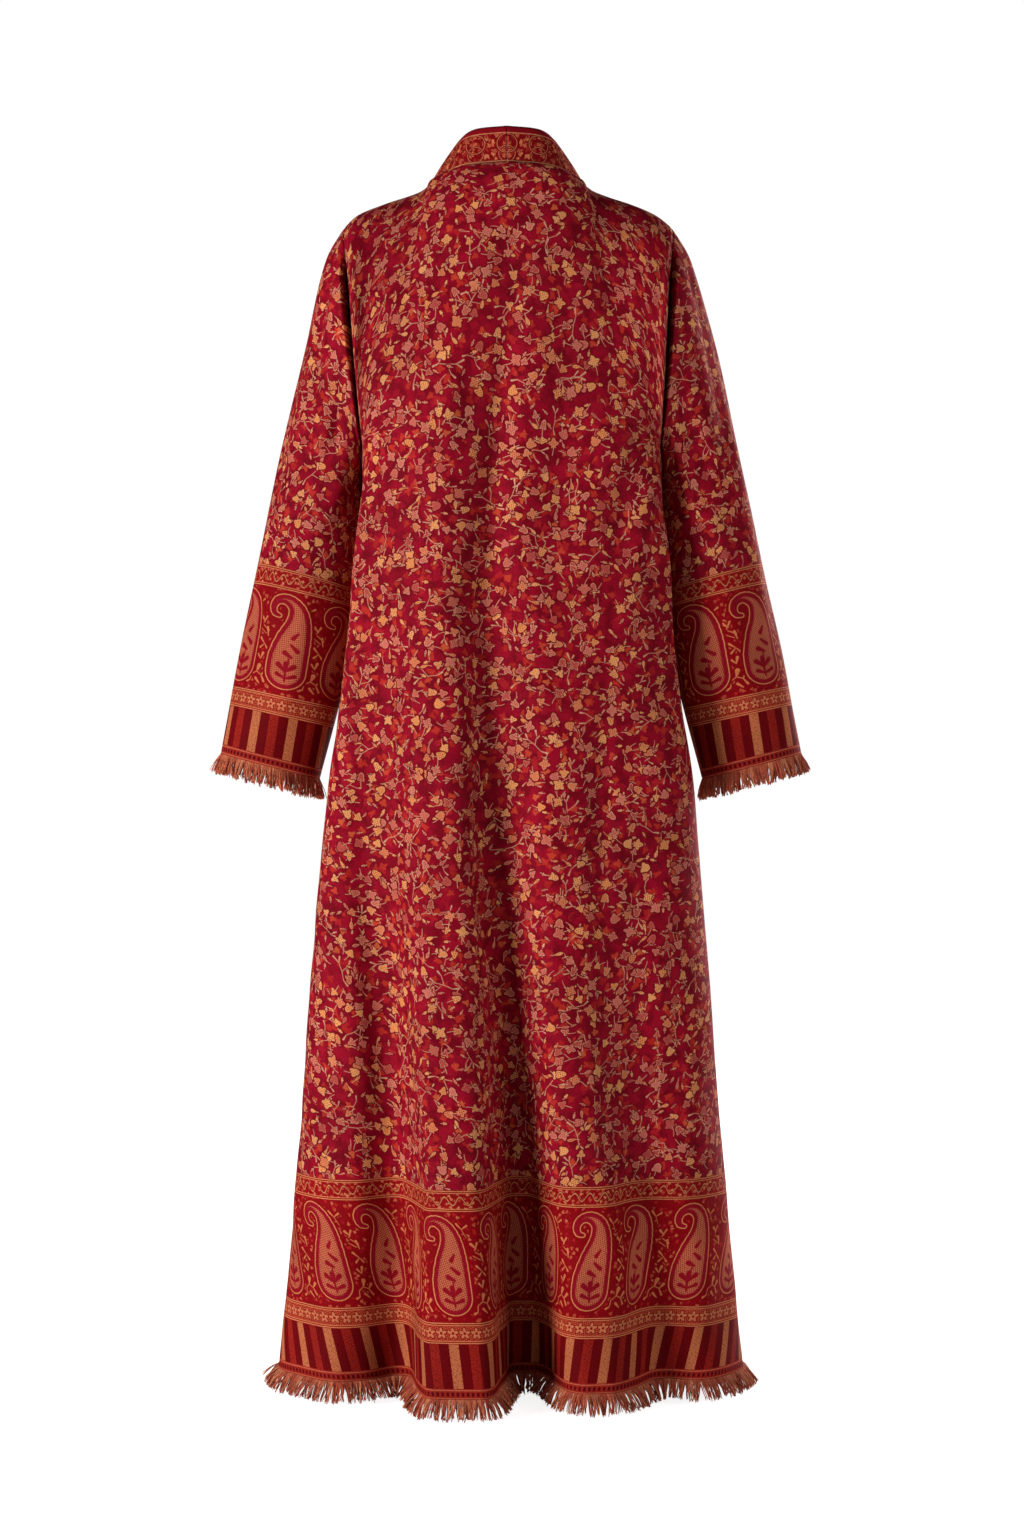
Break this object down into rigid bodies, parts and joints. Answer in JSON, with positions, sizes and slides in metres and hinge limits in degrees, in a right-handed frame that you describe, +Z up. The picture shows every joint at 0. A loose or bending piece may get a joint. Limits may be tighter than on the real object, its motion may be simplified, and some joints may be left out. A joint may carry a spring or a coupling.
{
  "type": "long open-front abaya, worn shape with no wearer",
  "caption": "Floor-length open-front abaya in dark red patterned weave, with a standing collar, long straight sleeves and a fringed hem and cuffs, filled out as worn.",
  "frame": {"origin": "middle of the neck opening, level with the side neck points where the garment hangs on its wearer", "axes": "+Z up; the wearer faces -Y, so +Y is the back and +X the wearer's left. The picture shows the +Y side."},
  "size_m": [0.71, 0.3685, 1.4505],
  "materials": {
    "woven_red": "matte jacquard weave",
    "collar_band": "matte jacquard weave",
    "fringe_yarn": "matte twisted yarn"
  },
  "bodies": {
    "root": {"back": "woven_red", "front_left": "woven_red", "front_right": "woven_red", "sleeve_left": "woven_red", "sleeve_right": "woven_red", "collar_left": "collar_band", "collar_right": "collar_band", "fringe_back": "fringe_yarn", "fringe_front_left": "fringe_yarn", "fringe_front_right": "fringe_yarn", "fringe_cuff_left": "fringe_yarn", "fringe_cuff_right": "fringe_yarn"}
  },
  "joints": []
}
